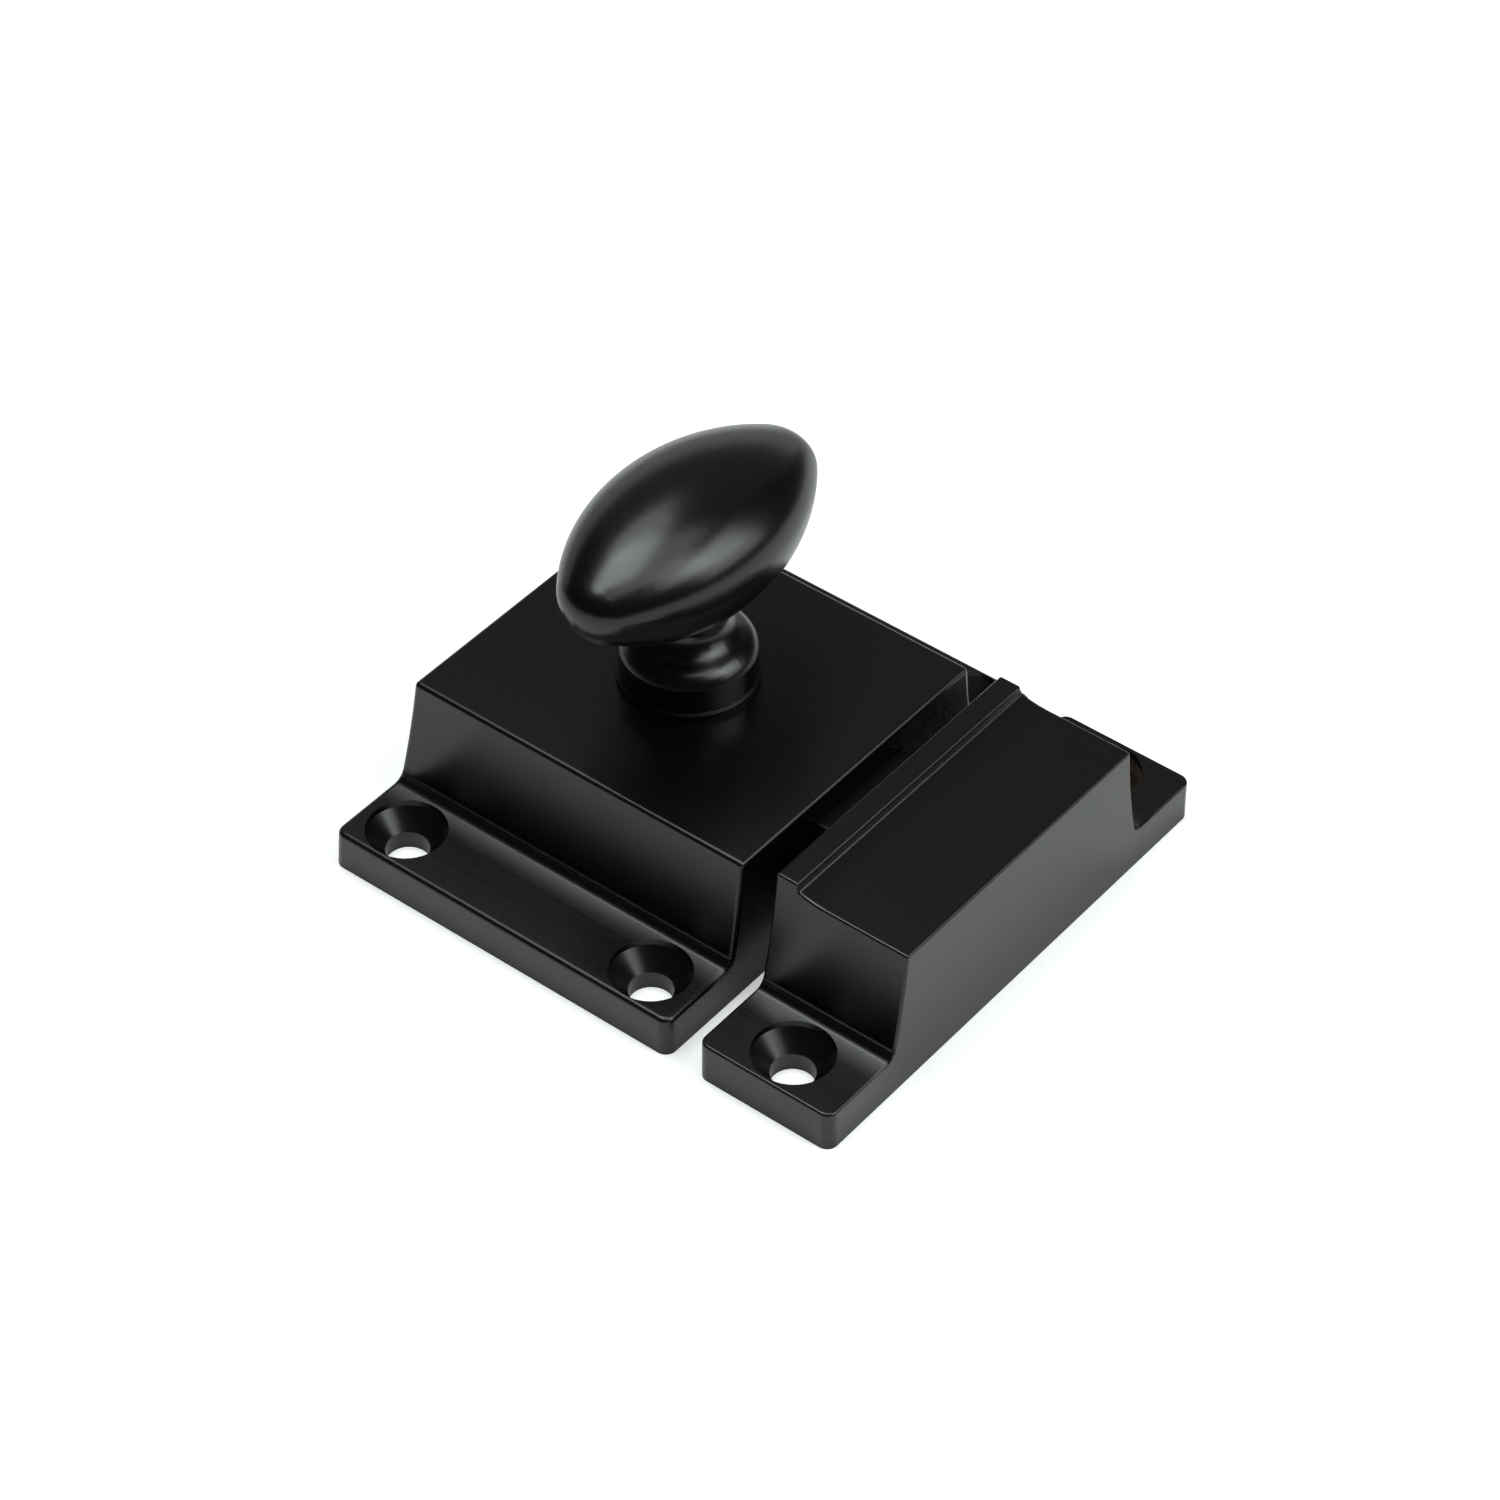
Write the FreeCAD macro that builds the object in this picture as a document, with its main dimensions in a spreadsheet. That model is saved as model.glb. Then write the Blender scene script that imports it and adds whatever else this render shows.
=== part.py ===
import FreeCAD, Part
import math
import os
import Sketcher

# Cupboard catch latch: a sprung bolt in a cast brass case, drawn back by an oval knob, and its keeper.
# The origin is the centre of the case's four screw holes, on the mounting plane.
# +X runs from the case to the keeper, +Y along the plates and +Z out of the door.
# Lengths are in millimetres and angles in degrees.

SIZES = [
    ("case_width", 36.0, "case across the door's edge"),
    ("case_height", 14.0, "top of the case above the door"),
    ("keeper_gap", 3.0, "gap between case and keeper when the door is shut"),
    ("keeper_width", 13.4, "keeper across the frame"),
    ("flange_thick", 3.9, "screw flanges of case and keeper"),
    ("block_length", 33.5, "raised block along Y where it meets the flanges"),
    ("flange_reach", 8.25, "screw flanges beyond the block"),
    ("case_wall_lean", 1.55, "lean of each end wall, from its foot to the top of the case"),
    ("keeper_wall_lean", 1.7, "lean of each end wall, from its foot to the keeper's lip"),
    ("wall_curve", 75.0, "radius of the hollowed end walls"),
    ("foot_fillet", 1.0, "fillet between end wall and flange"),
    ("corner_round", 1.0, "rounded corners of the flanges"),
    ("edge_round", 0.45, "softened outer edges of the castings"),
    ("case_draft", 4.2, "lean of the case's free side"),
    ("front_draft", 1.2, "lean of the case's bolt side"),
    ("keeper_draft", 0.9, "lean of the keeper's free side"),
    ("screw_inset_x", 4.9, "case screws from the case's sides"),
    ("screw_inset_y", 3.9, "mounting screws from the plates' ends"),
    ("screw_hole", 3.8, "mounting screw clearance hole"),
    ("screw_head", 7.0, "countersink for the screw head"),
    ("screw_sink", 0.6, "straight recess above the countersink"),
    ("screw_cone", 90.0, "angle of the countersinks"),
    ("rear_wall", 2.7, "case wall behind the springs"),
    ("front_wall", 2.5, "case wall that the bolt passes through"),
    ("roof_thick", 2.2, "case wall under the knob"),
    ("cavity_width", 23.0, "hollow of the case along Y"),
    ("cavity_corner", 1.2, "corner radius of the hollow"),
    ("back_thick", 1.2, "back plate"),
    ("back_land", 4.5, "seat of the back plate beyond the hollow along Y"),
    ("back_lip", 1.4, "case wall beside the back plate"),
    ("back_corner", 2.0, "corner radius of the back plate's rebate"),
    ("back_fit", 0.1, "gap around the back plate"),
    ("back_screw", 2.0, "back plate screw thread"),
    ("back_screw_head", 3.8, "back plate screw head"),
    ("back_screw_length", 5.5, "back plate screw, end to end"),
    ("back_screw_inset", 2.3, "back plate screws from its edges"),
    ("back_screw_fit", 0.1, "clearance of the screws in the back plate"),
    ("screw_slot", 0.6, "width of the small screws' slots"),
    ("slot_depth", 0.5, "depth of the small screws' slots"),
    ("travel", 4.6, "bolt stroke"),
    ("knob_turn", 60.0, "turn of the knob that draws the bolt fully"),
    ("cam_seat", 3.4, "spindle axis to the bolt's driven face"),
    ("cam_fit", 0.06, "running gap between cam and bolt"),
    ("cam_rise", 3.9, "underside of the cam above the back plate"),
    ("cam_hub", 4.4, "radius of the cam's hub"),
    ("cam_tip", 6.0, "width of the cam's tips as an angle"),
    ("cam_shoulder", 50.0, "angle from the hub's front to the back of each wing"),
    ("bolt_fit", 0.12, "sliding clearance of the bolt in the case"),
    ("bolt_floor", 0.15, "gap between bolt and back plate"),
    ("nose_width", 11.5, "bolt nose along Y"),
    ("nose_reach", 6.4, "bolt nose beyond the case when thrown"),
    ("nose_gap", 0.2, "gap between the bolt's shoulder and the case's roof"),
    ("nose_edge", 2.7, "height of the nose's blunt front edge"),
    ("bevel_start", 0.6, "start of the nose's bevel beyond the case"),
    ("nose_round", 0.4, "softened edges of the nose"),
    ("rail_width", 2.3, "side rails of the bolt"),
    ("rail_height", 2.55, "side rails of the bolt"),
    ("shoulder_thick", 1.8, "bolt shoulder that stops against the front wall"),
    ("shoulder_gap", 0.1, "shoulder to the front wall when thrown"),
    ("lug_thick", 3.2, "upright of the bolt that the cam pushes"),
    ("lug_gap", 0.45, "upright of the bolt below the spindle's groove"),
    ("guide_gap", 0.2, "clearance of the rails in the hollow"),
    ("pin_spacing", 13.0, "spring guide pins, centre to centre"),
    ("pin_size", 2.0, "diameter of the spring guide pins"),
    ("pin_hold", 2.2, "length of the pins held in the bolt"),
    ("pin_reach", 3.2, "length of the pins inside the springs"),
    ("spring_size", 4.4, "outside diameter of the springs"),
    ("spring_wire", 0.5, "spring wire"),
    ("spring_turns", 6.0, "coils of each spring"),
    ("spring_fit", 0.04, "gap at each end of the springs"),
    ("bush_size", 8.0, "bush body, pressed into the case"),
    ("bush_rim_size", 12.2, "rim of the bush on the case"),
    ("bush_rim_thick", 0.8, "rim of the bush on the case"),
    ("bush_rim_bevel", 0.2, "bevelled edge of the bush rim"),
    ("bush_inside", 0.9, "bush below the case's roof"),
    ("spindle_size", 6.0, "spindle journal"),
    ("spindle_fit", 0.04, "radial running clearance in the bush"),
    ("spindle_square", 4.2, "square end of the spindle"),
    ("square_fit", 0.03, "gap between the square and the cam"),
    ("square_set_back", 0.1, "square end inside the cam, so that the screw clamps it"),
    ("stud_size", 5.0, "threaded stud of the spindle in the knob"),
    ("stud_length", 8.4, "threaded stud of the spindle"),
    ("stud_hole_depth", 9.0, "tapped hole in the knob"),
    ("end_play", 0.05, "axial play of each washer and clip"),
    ("washer_thick", 0.5, "thrust washer"),
    ("washer_size", 9.6, "thrust washer"),
    ("clip_thick", 0.6, "retaining clip"),
    ("clip_size", 9.8, "retaining clip"),
    ("clip_mouth", 3.8, "mouth of the retaining clip"),
    ("groove_size", 4.8, "groove for the clip"),
    ("groove_land", 0.95, "spindle between groove and cam"),
    ("cam_washer_size", 6.4, "washer under the cam screw"),
    ("cam_washer_thick", 0.6, "washer under the cam screw"),
    ("cam_screw_size", 2.5, "thread of the cam screw"),
    ("cam_screw_head", 5.0, "head of the cam screw"),
    ("cam_screw_head_height", 1.5, "head of the cam screw"),
    ("cam_screw_length", 4.4, "cam screw below its head"),
    ("cam_hole_extra", 0.5, "tapped hole beyond the cam screw"),
    ("collar_size", 11.8, "collar at the foot of the knob"),
    ("collar_height", 2.4, "straight side of the collar"),
    ("bell_size", 9.2, "stem where the bell turns into the hollow"),
    ("bell_height", 1.35, "bell above the collar's rim"),
    ("bell_curve", 2.4, "radius of the bell"),
    ("hollow_height", 2.0, "hollow between bell and neck"),
    ("hollow_curve", 2.6, "radius of the hollow"),
    ("neck_size", 6.1, "neck of the knob"),
    ("neck_flare", 0.7, "widening of the neck under the head"),
    ("neck_flare_height", 1.5, "height of that widening"),
    ("head_length", 28.4, "oval head of the knob along Y"),
    ("head_width", 15.8, "oval head of the knob along X"),
    ("head_end", 4.45, "radius of the oval's ends"),
    ("head_rise", 15.75, "widest level of the head above the case"),
    ("head_dome", 5.35, "top of the head above its widest level"),
    ("head_belly", 8.05, "underside of the head below its widest level"),
    ("head_rim", 3.0, "crease of the head below its widest level"),
    ("head_step", 0.2, "step at that crease"),
    ("lip_rise", 1.1, "keeper's lip above the case's top"),
    ("lip_width", 2.15, "keeper's lip"),
    ("lip_draft", 0.2, "lean of the lip's inner side, at its foot"),
    ("lip_step", 0.75, "drop behind the keeper's lip"),
    ("lip_round", 0.25, "softened edges of the lip"),
    ("lip_fillet", 0.35, "fillet at the foot of the lip"),
    ("cove_drop", 0.35, "drop of the keeper's hollowed top"),
    ("cove_length", 2.7, "length of that hollow across the keeper"),
    ("cove_curve", 10.6, "radius of that hollow"),
    ("recess_side_gap", 0.8, "gap beside the bolt in the keeper's pocket"),
    ("recess_end_gap", 6.2, "gap before the bolt in the keeper's pocket"),
    ("recess_top_gap", 0.6, "gap above the bolt in the keeper's pocket"),
    ("recess_corner", 1.0, "corner radius of the pocket"),
    ("lead", 1.0, "overlap of a cut beyond the face it starts from"),
]

SAME_PLACE = 0.01  # two places closer than this are one
FLANK_STEPS = 8  # stretches that the cam's flank is drawn in
WIRE_SIDES = 4  # flat sides of the springs' wire

V = FreeCAD.Vector
doc = FreeCAD.newDocument("cupboard_catch")
sheet = doc.addObject("Spreadsheet::Sheet", "Sizes")


class Size:
    """A value of the sheet, or one worked out from them, with the formula that gives it."""

    def __init__(self, value, formula):
        self.value = float(value)
        self.formula = formula

    def __add__(self, other):
        other = as_size(other)
        return Size(self.value + other.value, "(%s + %s)" % (self.formula, other.formula))

    def __sub__(self, other):
        other = as_size(other)
        return Size(self.value - other.value, "(%s - %s)" % (self.formula, other.formula))

    def __mul__(self, other):
        other = as_size(other)
        return Size(self.value * other.value, "(%s * %s)" % (self.formula, other.formula))

    def __truediv__(self, other):
        other = as_size(other)
        return Size(self.value / other.value, "(%s / %s)" % (self.formula, other.formula))

    def __neg__(self):
        return Size(-self.value, "(0 - %s)" % self.formula)


def as_size(number):
    return number if isinstance(number, Size) else Size(number, repr(float(number)))


def tangent(angle):
    return Size(math.tan(math.radians(angle.value)), "tan(%s)" % angle.formula)


class Dimensions:
    """The driving dimensions by name."""


def fill_sheet():
    dimensions = Dimensions()
    for row, (name, value, meaning) in enumerate(SIZES, 1):
        sheet.set("A%d" % row, meaning)
        sheet.set("B%d" % row, str(value))
        sheet.setAlias("B%d" % row, name)
    doc.recompute()
    for name, value, meaning in SIZES:
        setattr(dimensions, name, Size(sheet.get(name), "Sizes.%s" % name))
    return dimensions


dim = fill_sheet()
ZERO = as_size(0)

# Places that several pieces share
case_side = dim.case_width / 2
plate_end = dim.block_length / 2 + dim.flange_reach
cavity_rear = dim.rear_wall - case_side
cavity_front = case_side - dim.front_wall
cavity_roof = dim.case_height - dim.roof_thick
keeper_start = case_side + dim.keeper_gap
keeper_middle = keeper_start + dim.keeper_width / 2
keeper_end = keeper_start + dim.keeper_width
screw_row = case_side - dim.screw_inset_x
screw_line = plate_end - dim.screw_inset_y
back_rebate_side = case_side - dim.back_lip
back_rebate_end = dim.cavity_width / 2 + dim.back_land
rim_top = dim.case_height + dim.bush_rim_thick
bush_bottom = cavity_roof - dim.bush_inside
journal_radius = dim.spindle_size / 2
collar_bottom = rim_top + dim.end_play
washer_bottom = bush_bottom - dim.end_play - dim.washer_thick
groove_top = washer_bottom
clip_bottom = groove_top - dim.end_play - dim.clip_thick
groove_bottom = clip_bottom - dim.end_play
cam_top = groove_bottom - dim.groove_land
cam_bottom = dim.back_thick + dim.cam_rise
cam_thick = cam_top - cam_bottom
bolt_bottom = dim.back_thick + dim.bolt_floor
nose_top = cavity_roof - dim.nose_gap
lug_top = groove_bottom - dim.lug_gap
pin_height = (bolt_bottom + lug_top) / 2
shoulder_front = cavity_front - dim.shoulder_gap
shoulder_rear = shoulder_front - dim.shoulder_thick
lug_front = -dim.cam_seat
lug_rear = lug_front - dim.lug_thick
bolt_half = dim.cavity_width / 2 - dim.guide_gap
nose_tip = case_side + dim.nose_reach
lip_top = dim.case_height + dim.lip_rise
head_level = dim.case_height + dim.head_rise


def origin_plane(body, role):
    return [plane for plane in body.Origin.OriginFeatures if plane.Role == role][0]


def new_body(name):
    body = doc.addObject("PartDesign::Body", name)
    body.Label = name
    return body


def new_sketch(body, name, role, offset=None):
    """A sketch on one of the body's own planes, lifted off it by a size where one is given."""
    sketch = body.newObject("Sketcher::SketchObject", name)
    sketch.AttachmentSupport = [(origin_plane(body, role), "")]
    sketch.MapMode = "FlatFace"
    if offset is not None:
        sketch.AttachmentOffset = FreeCAD.Placement(V(0, 0, offset.value), FreeCAD.Rotation())
        sketch.setExpression("AttachmentOffset.Base.z", offset.formula)
    return sketch


def constrain(sketch, constraint, size):
    index = sketch.addConstraint(constraint)
    sketch.setExpression("Constraints[%d]" % index, size.formula)


def fix_point(sketch, geometry, position, x, y):
    """Ties a point of the sketch to its place, measured from the sketch's origin."""
    for kind, place, axis in (("DistanceX", x, -2), ("DistanceY", y, -1)):
        if place.formula == ZERO.formula:
            sketch.addConstraint(Sketcher.Constraint("PointOnObject", geometry, position, axis))
        else:
            constrain(sketch, Sketcher.Constraint(kind, -1, 1, geometry, position, place.value), place)


def arc_between(start, end, radius, turns_left):
    """The shorter arc of that radius from start to end."""
    chord = end - start
    side = V(-chord.y, chord.x, 0).normalize() * (1 if turns_left else -1)
    centre = start + chord * 0.5 + side * math.sqrt(radius ** 2 - (chord.Length / 2) ** 2)
    first, last = (start, end) if turns_left else (end, start)
    angles = [math.atan2(point.y - centre.y, point.x - centre.x) for point in (first, last)]
    return Part.ArcOfCircle(Part.Circle(centre, V(0, 0, 1), radius), angles[0], angles[1])


def closed_outline(sketch, corners):
    """Draws a closed outline. Each corner is (x, y), reached by a straight run, or
    (x, y, radius, "left" or "right"), reached by an arc that turns that way."""
    ends = []
    for index, corner in enumerate(corners):
        x, y = [as_size(place) for place in corner[:2]]
        before = [as_size(place) for place in corners[index - 1][:2]]
        start = V(before[0].value, before[1].value, 0)
        end = V(x.value, y.value, 0)
        if len(corner) == 2:
            number = sketch.addGeometry(Part.LineSegment(start, end))
            ends.append((number, 1, 2))
        else:
            radius, turn = as_size(corner[2]), corner[3]
            number = sketch.addGeometry(arc_between(start, end, radius.value, turn == "left"))
            ends.append((number, 1, 2) if turn == "left" else (number, 2, 1))
            constrain(sketch, Sketcher.Constraint("Radius", number, radius.value), radius)
        fix_point(sketch, number, ends[-1][2], x, y)
    for index, (number, first, last) in enumerate(ends):
        previous = ends[index - 1]
        sketch.addConstraint(Sketcher.Constraint("Coincident", previous[0], previous[2], number, first))


def rectangle(sketch, left, right, low, high):
    closed_outline(sketch, [(right, low), (right, high), (left, high), (left, low)])


def rounded_rectangle(sketch, left, right, low, high, corner):
    closed_outline(sketch, [
        (right - corner, low),
        (right, low + corner, corner, "left"),
        (right, high - corner),
        (right - corner, high, corner, "left"),
        (left + corner, high),
        (left, high - corner, corner, "left"),
        (left, low + corner),
        (left + corner, low, corner, "left"),
    ])


def circle(sketch, x, y, radius):
    number = sketch.addGeometry(Part.Circle(V(x.value, y.value, 0), V(0, 0, 1), radius.value))
    constrain(sketch, Sketcher.Constraint("Radius", number, radius.value), radius)
    fix_point(sketch, number, 3, x, y)


def signed(size, sign):
    return size if sign > 0 else -size


def extrude(body, kind, sketch, length, symmetric, reverse):
    feature = body.newObject("PartDesign::" + kind, "%s_%s" % (sketch.Name, kind.lower()))
    feature.Profile = sketch
    feature.Length = length.value
    feature.setExpression("Length", length.formula)
    feature.SideType = "Symmetric" if symmetric else "One side"
    feature.Reversed = reverse
    doc.recompute()
    return feature


def pad(body, sketch, length, symmetric=False, reverse=False):
    return extrude(body, "Pad", sketch, length, symmetric, reverse)


def check_cut(body, feature, before):
    if body.Shape.isNull() or not body.Shape.Volume < before:
        raise RuntimeError("%s removes nothing" % feature.Name)


def pocket(body, sketch, depth, symmetric=False, reverse=False):
    before = body.Shape.Volume
    feature = extrude(body, "Pocket", sketch, depth, symmetric, reverse)
    check_cut(body, feature, before)
    return feature


def revolve(body, sketch):
    """Turns a profile about its sketch's vertical axis."""
    feature = body.newObject("PartDesign::Revolution", sketch.Name + "_turned")
    feature.Profile = sketch
    feature.ReferenceAxis = (sketch, ["V_Axis"])
    feature.Angle = 360
    doc.recompute()
    return feature


def turned(name, profile):
    """A body turned about Z, from corners given as radius and height."""
    body = new_body(name)
    sketch = new_sketch(body, name + "_profile", "XZ_Plane")
    closed_outline(sketch, profile)
    revolve(body, sketch)
    return body


def countersunk_holes(body, name, level, places, hole, head, reverse):
    """Through holes with conical seats, cut from a level of the body at each place."""
    sketch = new_sketch(body, name, "XY_Plane", level)
    for x, y in places:
        circle(sketch, x, y, hole / 2)
    doc.recompute()
    before = body.Shape.Volume
    feature = body.newObject("PartDesign::Hole", name + "_holes")
    feature.Profile = sketch
    feature.Reversed = reverse
    feature.ThreadType = "None"
    feature.DepthType = "ThroughAll"
    feature.Diameter = hole.value
    feature.setExpression("Diameter", hole.formula)
    feature.HoleCutType = "Countersink"
    feature.HoleCutCustomValues = True
    feature.HoleCutDiameter = head.value
    feature.setExpression("HoleCutDiameter", head.formula)
    feature.HoleCutCountersinkAngle = dim.screw_cone.value
    feature.setExpression("HoleCutCountersinkAngle", dim.screw_cone.formula)
    doc.recompute()
    check_cut(body, feature, before)


def soften(body, kind, size, belongs):
    """Fillets or chamfers the edges of the body that belong: those the test accepts."""
    base = body.Tip
    names = ["Edge%d" % number for number, edge in enumerate(base.Shape.Edges, 1) if belongs(edge)]
    if not names:
        raise RuntimeError("%s has no such edge" % body.Label)
    feature = body.newObject("PartDesign::" + kind, "%s_%s_%d" % (body.Name, kind.lower(), len(body.Group)))
    feature.Base = (base, names)
    cell = "Radius" if kind == "Fillet" else "Size"
    setattr(feature, cell, size.value)
    feature.setExpression(cell, size.formula)
    doc.recompute()
    return feature


def near(first, second):
    return abs(first - second) < SAME_PLACE


def ends_of(edge):
    return [vertex.Point for vertex in edge.Vertexes]


def runs_along(edge, axis):
    """True for a straight edge that is parallel to the named axis."""
    box = edge.BoundBox
    across = {
        "x": (box.YLength, box.ZLength),
        "y": (box.XLength, box.ZLength),
        "z": (box.XLength, box.YLength),
    }
    return max(across[axis]) < SAME_PLACE


def block_outline(sketch, wall_lean, height):
    """The end view that case and keeper share: two flanges and a block with hollowed end walls."""
    foot = dim.block_length / 2
    top = foot - wall_lean
    closed_outline(sketch, [
        (plate_end, ZERO),
        (plate_end, dim.flange_thick),
        (foot, dim.flange_thick),
        (top, height, dim.wall_curve, "right"),
        (-top, height),
        (-foot, dim.flange_thick, dim.wall_curve, "right"),
        (-plate_end, dim.flange_thick),
        (-plate_end, ZERO),
    ])


def lean_side(body, name, side, sign, draft, height):
    """Takes a wedge off one side, so that the side leans in by the draft angle."""
    sketch = new_sketch(body, name, "XZ_Plane")
    top = height + dim.lead
    closed_outline(sketch, [
        (side + signed(dim.lead, sign), ZERO),
        (side + signed(dim.lead, sign), top),
        (side - signed(tangent(draft) * top, sign), top),
        (side, ZERO),
    ])
    pocket(body, sketch, plate_end * 2 + dim.lead, symmetric=True)


def mounting_holes(body, name, columns):
    """The countersunk holes for the mounting screws, with a short straight recess above each."""
    places = [(x, signed(screw_line, sign)) for x in columns for sign in (1, -1)]
    sketch = new_sketch(body, name + "_recess", "XY_Plane", dim.flange_thick)
    for x, y in places:
        circle(sketch, x, y, dim.screw_head / 2)
    pocket(body, sketch, dim.screw_sink)
    level = dim.flange_thick - dim.screw_sink
    countersunk_holes(body, name, level, places, dim.screw_hole, dim.screw_head, False)


def is_foot(edge):
    point = ends_of(edge)[0]
    on_foot = near(abs(point.y), dim.block_length.value / 2) and near(point.z, dim.flange_thick.value)
    return on_foot and runs_along(edge, "x")


def is_flange_corner(edge):
    box = edge.BoundBox
    upright = near(box.ZMin, 0) and near(box.ZMax, dim.flange_thick.value)
    return upright and all(near(abs(point.y), plate_end.value) for point in ends_of(edge))


def is_lip_foot(edge):
    foot = lip_top - dim.lip_step
    return runs_along(edge, "y") and all(near(point.z, foot.value) for point in ends_of(edge))


def outer_edges(left, left_lean, right, right_lean):
    """A test for the edges of a casting that show: those of its two sides, its flange ends, the ends of
    its top and the keeper's lip."""
    above_foot = (dim.flange_thick + dim.foot_fillet + dim.lead).value
    corner_seam = (plate_end - dim.corner_round).value

    def on_side(points, side, lean):
        return all(near(point.x, side + lean * point.z) for point in points)

    def belongs(edge):
        points = ends_of(edge)
        box = edge.BoundBox
        if box.ZMax < SAME_PLACE:
            return False
        if near(box.ZMin, 0) and all(near(abs(point.y), corner_seam) for point in points):
            return False
        if on_side(points, left, left_lean) or on_side(points, right, right_lean):
            return True
        if near(points[0].z, dim.flange_thick.value) and near(abs(points[0].y), plate_end.value):
            return True
        if near(box.ZMin, lip_top.value) and runs_along(edge, "y"):
            return True
        return box.ZMin > above_foot and box.YLength < dim.lead.value
    return belongs


def make_case():
    body = new_body("case_body")
    sketch = new_sketch(body, "case_end_view", "YZ_Plane")
    block_outline(sketch, dim.case_wall_lean, dim.case_height)
    pad(body, sketch, dim.case_width, symmetric=True)
    lean_side(body, "case_free_side", -case_side, -1, dim.case_draft, dim.case_height)
    lean_side(body, "case_bolt_side", case_side, 1, dim.front_draft, dim.case_height)
    soften(body, "Fillet", dim.foot_fillet, is_foot)
    soften(body, "Fillet", dim.corner_round, is_flange_corner)
    shows = outer_edges(-case_side.value, tangent(dim.case_draft).value,
                        case_side.value, -tangent(dim.front_draft).value)
    soften(body, "Fillet", dim.edge_round, shows)

    rebate = new_sketch(body, "back_rebate", "XY_Plane")
    side, end = back_rebate_side, back_rebate_end
    rounded_rectangle(rebate, -side, side, -end, end, dim.back_corner)
    pocket(body, rebate, dim.back_thick, reverse=True)
    hollow = new_sketch(body, "hollow", "XY_Plane")
    half = dim.cavity_width / 2
    rounded_rectangle(hollow, cavity_rear, cavity_front, -half, half, dim.cavity_corner)
    pocket(body, hollow, cavity_roof, reverse=True)
    mouth = dim.nose_width / 2 + dim.bolt_fit
    mouth_top = nose_top + dim.bolt_fit
    slot = new_sketch(body, "bolt_mouth", "XY_Plane")
    rectangle(slot, cavity_front - dim.cavity_corner, case_side + dim.lead, -mouth, mouth)
    pocket(body, slot, mouth_top, reverse=True)
    bore = new_sketch(body, "bush_bore", "XY_Plane")
    circle(bore, ZERO, ZERO, dim.bush_size / 2)
    pocket(body, bore, dim.case_height + dim.lead, reverse=True)
    tapped = new_sketch(body, "back_screw_holes", "XY_Plane")
    for x, y in back_screw_places():
        circle(tapped, x, y, dim.back_screw / 2)
    pocket(body, tapped, dim.back_screw_length + dim.screw_slot, reverse=True)
    mounting_holes(body, "case_mounting", [screw_row, -screw_row])
    return body


def make_keeper():
    """The keeper: a raised lip over the bolt, a hollowed top behind it and a pocket open to the back."""
    body = new_body("keeper")
    sketch = new_sketch(body, "keeper_end_view", "YZ_Plane", keeper_start)
    block_outline(sketch, dim.keeper_wall_lean, lip_top)
    pad(body, sketch, dim.keeper_width)
    lean_side(body, "keeper_free_side", keeper_end, 1, dim.keeper_draft, lip_top)
    soften(body, "Fillet", dim.foot_fillet, is_foot)
    soften(body, "Fillet", dim.corner_round, is_flange_corner)
    top = new_sketch(body, "keeper_top", "XZ_Plane")
    lip_end = keeper_start + dim.lip_width
    cove_start = lip_end + dim.lip_draft
    cove_top = lip_top - dim.lip_step
    above = lip_top + dim.lead
    closed_outline(top, [
        (lip_end, above),
        (lip_end, lip_top - dim.lip_step / 2),
        (cove_start, cove_top),
        (cove_start + dim.cove_length, cove_top - dim.cove_drop, dim.cove_curve, "left"),
        (keeper_end + dim.lead, cove_top - dim.cove_drop),
        (keeper_end + dim.lead, above),
    ])
    pocket(body, top, dim.block_length, symmetric=True)
    soften(body, "Fillet", dim.lip_fillet, is_lip_foot)
    shows = outer_edges(keeper_start.value, 0, keeper_end.value, -tangent(dim.keeper_draft).value)
    soften(body, "Fillet", dim.lip_round, shows)
    recess = new_sketch(body, "bolt_pocket", "XY_Plane")
    half = dim.nose_width / 2 + dim.recess_side_gap
    corner = dim.recess_corner
    deep = nose_tip + dim.recess_end_gap
    closed_outline(recess, [
        (keeper_start - dim.lead, -half),
        (deep - corner, -half),
        (deep, -half + corner, corner, "left"),
        (deep, half - corner),
        (deep - corner, half, corner, "left"),
        (keeper_start - dim.lead, half),
    ])
    pocket(body, recess, nose_top + dim.recess_top_gap, reverse=True)
    mounting_holes(body, "keeper_mounting", [keeper_middle])
    return body


def back_screw_places():
    across = back_rebate_side - dim.back_fit - dim.back_screw_inset
    along = back_rebate_end - dim.back_fit - dim.back_screw_inset
    return [(signed(across, i), signed(along, j)) for i in (1, -1) for j in (1, -1)]


def make_back_plate():
    body = new_body("back_plate")
    sketch = new_sketch(body, "back_plate_outline", "XY_Plane")
    side = back_rebate_side - dim.back_fit
    end = back_rebate_end - dim.back_fit
    rounded_rectangle(sketch, -side, side, -end, end, dim.back_corner - dim.back_fit)
    pad(body, sketch, dim.back_thick)
    hole = dim.back_screw + dim.back_screw_fit * 2
    head = dim.back_screw_head + dim.back_screw_fit * 2
    countersunk_holes(body, "back_plate_seats", ZERO, back_screw_places(), hole, head, True)
    return body


def copies(name, original, places):
    """One node that holds separate solids: copies of a small piece at its places."""
    feature = doc.addObject("Part::Feature", name)
    feature.Label = name
    solids = []
    for x, y in places:
        solid = original.Shape.copy()
        solid.translate(V(x.value, y.value, 0))
        solids.append(solid)
    feature.Shape = Part.makeCompound(solids)
    return feature


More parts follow.
